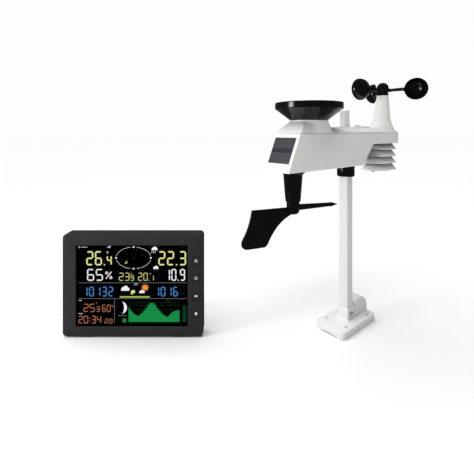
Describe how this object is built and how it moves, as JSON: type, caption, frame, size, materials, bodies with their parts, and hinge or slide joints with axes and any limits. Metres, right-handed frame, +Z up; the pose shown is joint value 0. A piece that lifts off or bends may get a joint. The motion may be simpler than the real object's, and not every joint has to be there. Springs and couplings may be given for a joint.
{
  "type": "home weather station",
  "caption": "Mast-mounted outdoor weather sensor with rain funnel, wind cups, vane and louvred shield, and an indoor colour display console.",
  "frame": {"origin": "middle of the set's outline on the surface that both units stand on", "axes": "+Z up, +X along the outdoor head from the solar panel towards the wind cups, +Y to the side where the console stands"},
  "size_m": [0.5206, 0.3304, 0.3935],
  "materials": {
    "white": "moulded white weatherproof plastic, satin",
    "black": "glossy black moulded plastic",
    "bezel": "fine matte dark grey plastic",
    "rubber": "soft black rubber",
    "steel": "bright stainless steel",
    "board": "green solder mask on a circuit board",
    "panel": "solar cells under a clear glossy cover",
    "window": "clear flat window with a dark tint",
    "display": "black display glass with coloured segments",
    "cell": "painted metal can",
    "level": "clear dome over a yellow-green liquid"
  },
  "bodies": {
    "outdoor_unit": {"mast_foot": "white", "mast_tube": "white", "mast_screw": "steel", "mast_nut": "steel", "lock_collar": "black", "housing_body": "white", "housing_lid": "white", "solar_panel": "panel", "antenna_shroud": "white", "bubble_level": "level", "light_sensor": "white", "main_board": "board", "anemometer_post": "white", "rotor_bearing": "steel", "vane_holder": "black", "vane_bearing": "steel", "climate_probe": "board", "housing_screw_1": "steel", "housing_screw_2": "steel", "louvre_1": "white", "louvre_2": "white", "louvre_3": "white", "louvre_4": "white", "shield_screw_1": "steel", "shield_screw_2": "steel", "battery_1": "cell", "battery_2": "cell", "battery_3": "cell"},
    "rotor": {"rotor_hub": "black", "rotor_shaft": "steel", "wind_cup_1": "black", "wind_cup_2": "black", "wind_cup_3": "black"},
    "vane": {"wind_vane": "black", "vane_shaft": "steel"},
    "bucket": {"tipping_bucket": "black", "bucket_axle": "steel"},
    "funnel": {"rain_funnel": "black"},
    "hatch": {"battery_door": "white"},
    "console": {"console_bezel": "bezel", "console_back": "bezel", "display_window": "window", "lcd_module": "display", "console_board": "board", "backup_cell": "steel", "power_inlet": "black", "stand_pin": "steel", "console_screw_1": "steel", "console_screw_2": "steel", "console_foot_1": "rubber", "console_foot_2": "rubber"},
    "stand": {"stand_plate": "bezel"},
    "rear_door": {"cell_door": "bezel"},
    "key_top": {"key_1": "bezel"},
    "key_upper": {"key_2": "bezel"},
    "key_lower": {"key_3": "bezel"},
    "key_bottom": {"key_4": "bezel"}
  },
  "joints": [
    {"name": "rotor_spin", "type": "hinge", "parent": "outdoor_unit", "child": "rotor", "pos_m": [0.20934, -0.09556, 0.375], "axis": [0, 0, 1], "continuous": true},
    {"name": "vane_turn", "type": "hinge", "parent": "outdoor_unit", "child": "vane", "pos_m": [-0.03176, -0.09556, 0.2], "axis": [0, 0, 1], "continuous": true},
    {"name": "bucket_tip", "type": "hinge", "parent": "outdoor_unit", "child": "bucket", "pos_m": [0.00164, -0.09556, 0.272], "axis": [0, -1, 0], "range_deg": [0, 36]},
    {"name": "funnel_lift", "type": "slide", "parent": "outdoor_unit", "child": "funnel", "axis": [0, 0, 1], "range_m": [0, 0.06]},
    {"name": "hatch_swing", "type": "hinge", "parent": "outdoor_unit", "child": "hatch", "pos_m": [0.07754, -0.09556, 0.2502], "axis": [0, -1, 0], "range_deg": [0, 90]},
    {"name": "console_lift", "type": "slide", "parent": "outdoor_unit", "child": "console", "axis": [0, 0, 1], "range_m": [0, 0.15]},
    {"name": "stand_fold", "type": "hinge", "parent": "console", "child": "stand", "pos_m": [-0.16408, 0.10249, 0.0039], "axis": [0.7694, -0.6388, 0], "range_deg": [0, 90]},
    {"name": "rear_door_swing", "type": "hinge", "parent": "console", "child": "rear_door", "pos_m": [-0.13586, 0.07386, 0.069], "axis": [-0.7694, 0.6388, 0], "range_deg": [0, 100]},
    {"name": "key_top_press", "type": "slide", "parent": "console", "child": "key_top", "axis": [0.6388, 0.7694, 0], "range_m": [0, 0.0008], "stiffness_N_per_m": 400},
    {"name": "key_upper_press", "type": "slide", "parent": "console", "child": "key_upper", "axis": [0.6388, 0.7694, 0], "range_m": [0, 0.0008], "stiffness_N_per_m": 400},
    {"name": "key_lower_press", "type": "slide", "parent": "console", "child": "key_lower", "axis": [0.6388, 0.7694, 0], "range_m": [0, 0.0008], "stiffness_N_per_m": 400},
    {"name": "key_bottom_press", "type": "slide", "parent": "console", "child": "key_bottom", "axis": [0.6388, 0.7694, 0], "range_m": [0, 0.0008], "stiffness_N_per_m": 400}
  ]
}
